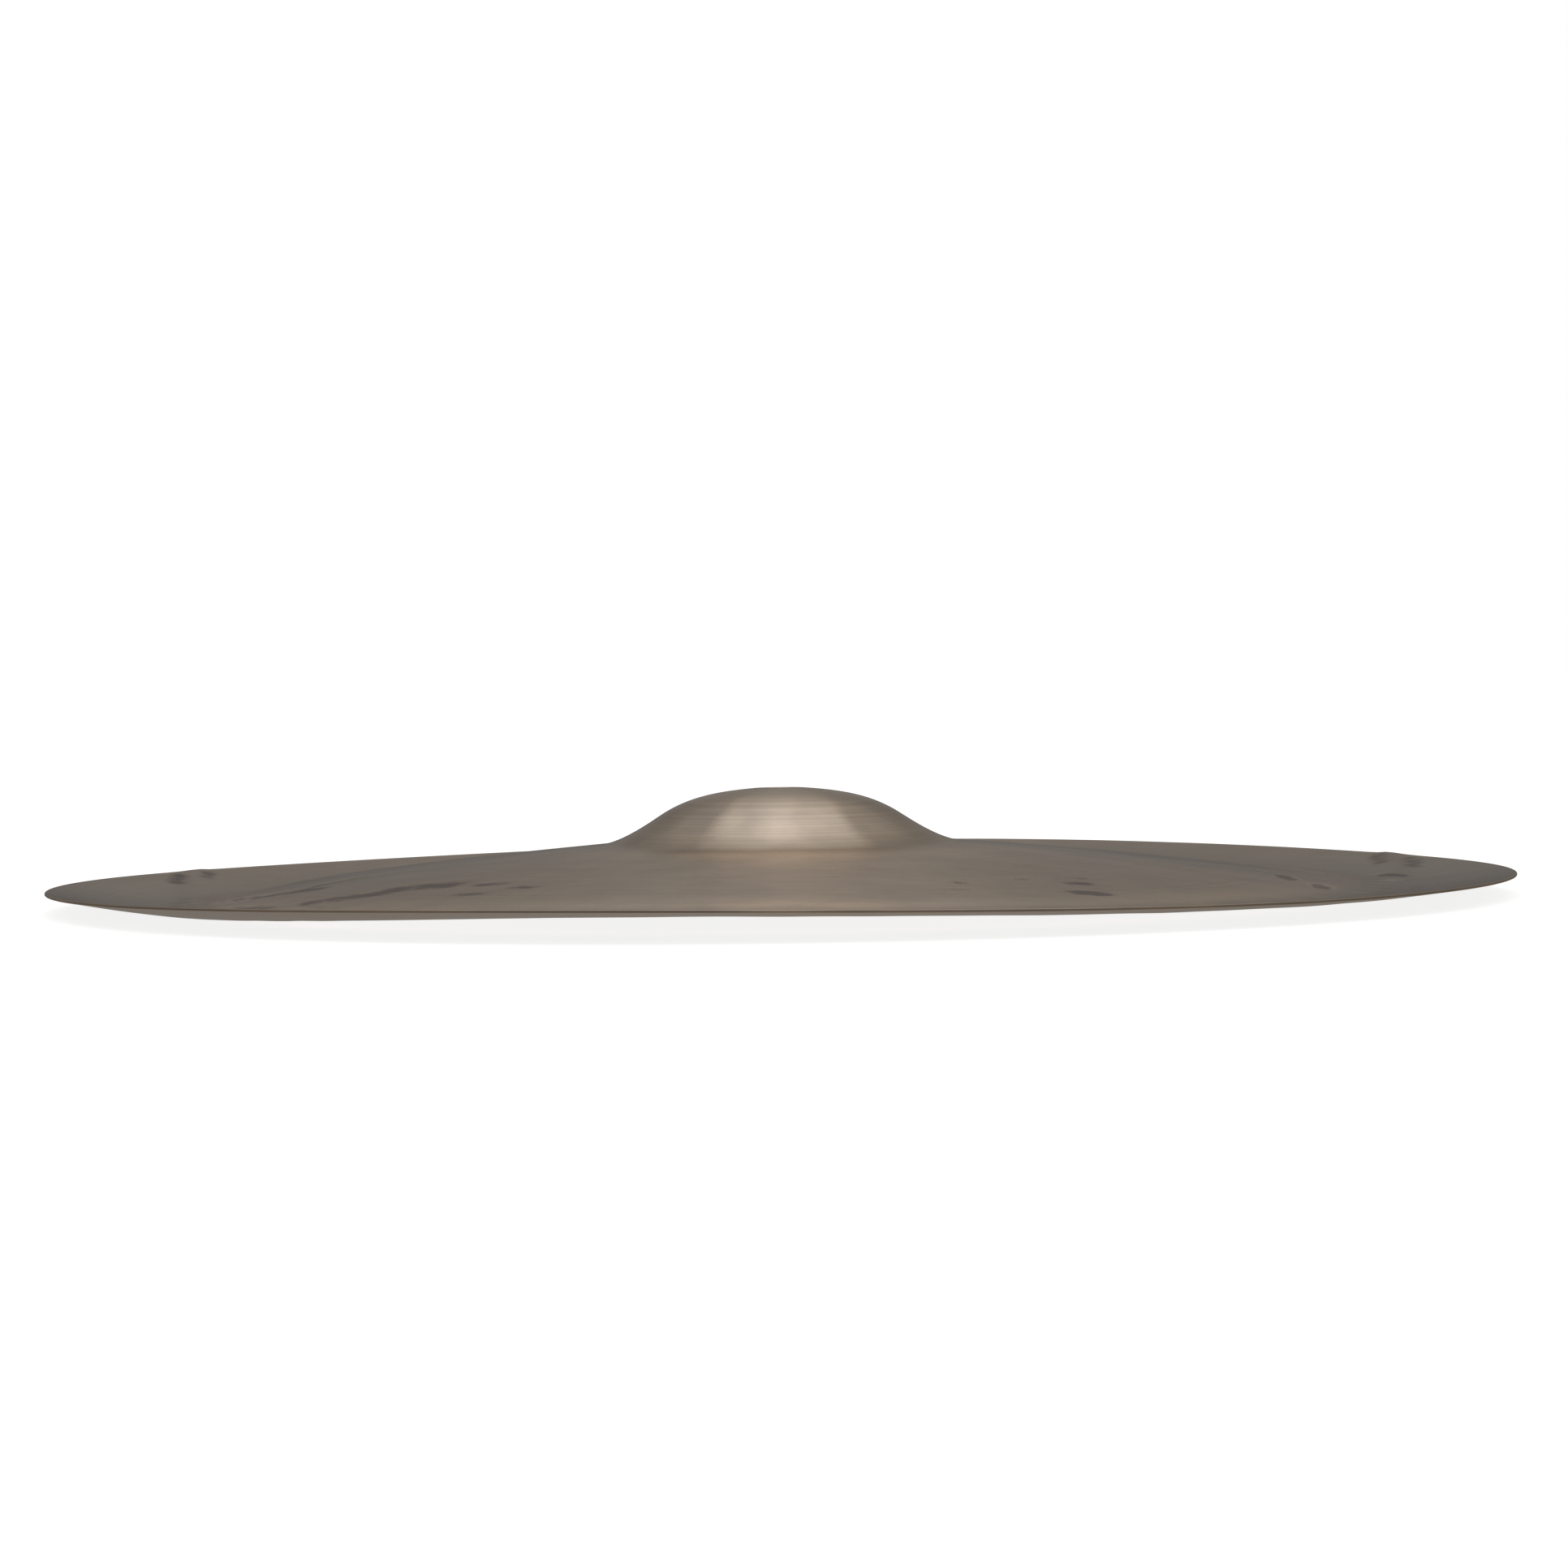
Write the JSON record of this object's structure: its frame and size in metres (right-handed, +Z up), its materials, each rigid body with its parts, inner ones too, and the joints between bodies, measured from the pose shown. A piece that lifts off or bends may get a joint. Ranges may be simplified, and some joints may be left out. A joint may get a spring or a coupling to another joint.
{
  "type": "china cymbal",
  "caption": "Thin round bronze cymbal with a raised bell, a long shallow bow, a fold near the edge and an upturned rim, pierced at the centre for a stand.",
  "frame": {"origin": "on the axis of the hole, level with the lowest point of the fold's underside, where the cymbal rests on a flat surface", "axes": "+Z up along the axis, bell upwards; -Y is the side that faces the camera in the picture and +X is the picture's right"},
  "size_m": [0.508, 0.508, 0.039],
  "materials": {
    "turned_bronze": "hammered and lathed tin bronze, satin, with a dull grey-brown patina"
  },
  "bodies": {
    "root": {"cymbal_disc": "turned_bronze"}
  },
  "joints": []
}
